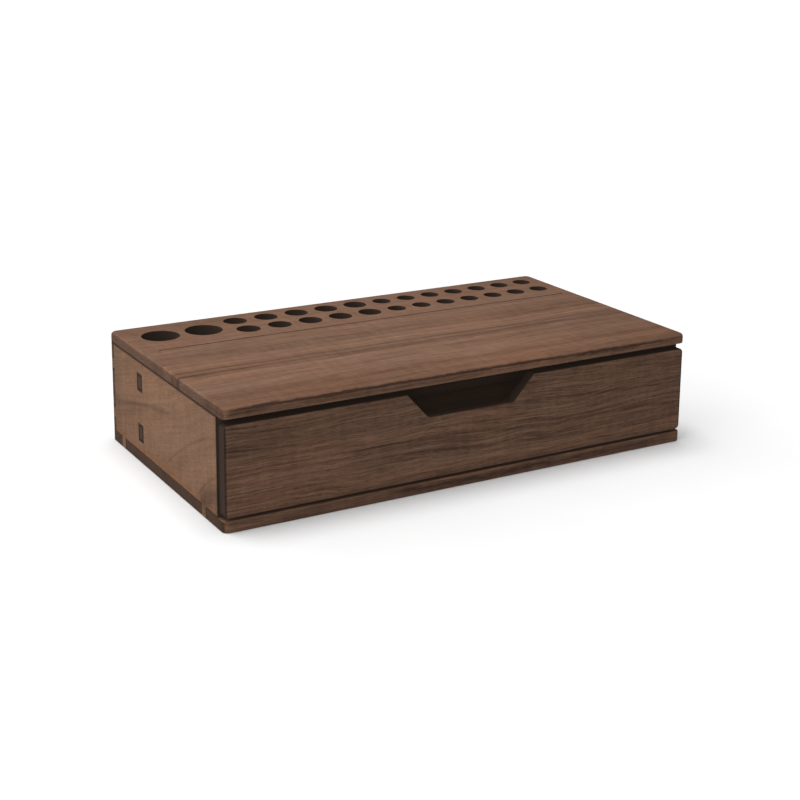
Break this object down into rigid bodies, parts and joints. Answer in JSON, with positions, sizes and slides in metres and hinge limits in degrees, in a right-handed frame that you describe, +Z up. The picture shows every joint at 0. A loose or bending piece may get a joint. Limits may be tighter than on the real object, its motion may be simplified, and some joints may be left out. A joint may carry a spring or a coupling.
{
  "type": "pen stand with drawer",
  "caption": "Low wooden pen stand with rows of round pen holes along the back of its top and a full-width drawer with a cut finger pull.",
  "frame": {"origin": "middle of the stand's footprint, on the surface that it stands on", "axes": "+X to the right along the drawer front, +Y to the back where the pens stand, +Z up"},
  "size_m": [0.3, 0.166, 0.0675],
  "materials": {
    "top_walnut": "oiled, satin",
    "side_walnut": "oiled, satin",
    "front_walnut": "oiled, satin",
    "base_walnut": "oiled, satin",
    "inner_walnut": "oiled, satin",
    "floor_walnut": "oiled, satin"
  },
  "bodies": {
    "stand": {"base_board": "base_walnut", "left_side_panel": "side_walnut", "right_side_panel": "side_walnut", "back_panel": "side_walnut", "divider_panel": "inner_walnut", "top_rear_plank": "top_walnut", "top_front_plank": "top_walnut"},
    "drawer": {"drawer_front": "front_walnut", "drawer_left_side": "inner_walnut", "drawer_right_side": "inner_walnut", "drawer_back": "inner_walnut", "drawer_bottom": "floor_walnut"}
  },
  "joints": [
    {"name": "drawer_slide", "type": "slide", "parent": "stand", "child": "drawer", "axis": [0, -1, 0], "range_m": [0, 0.085]}
  ]
}
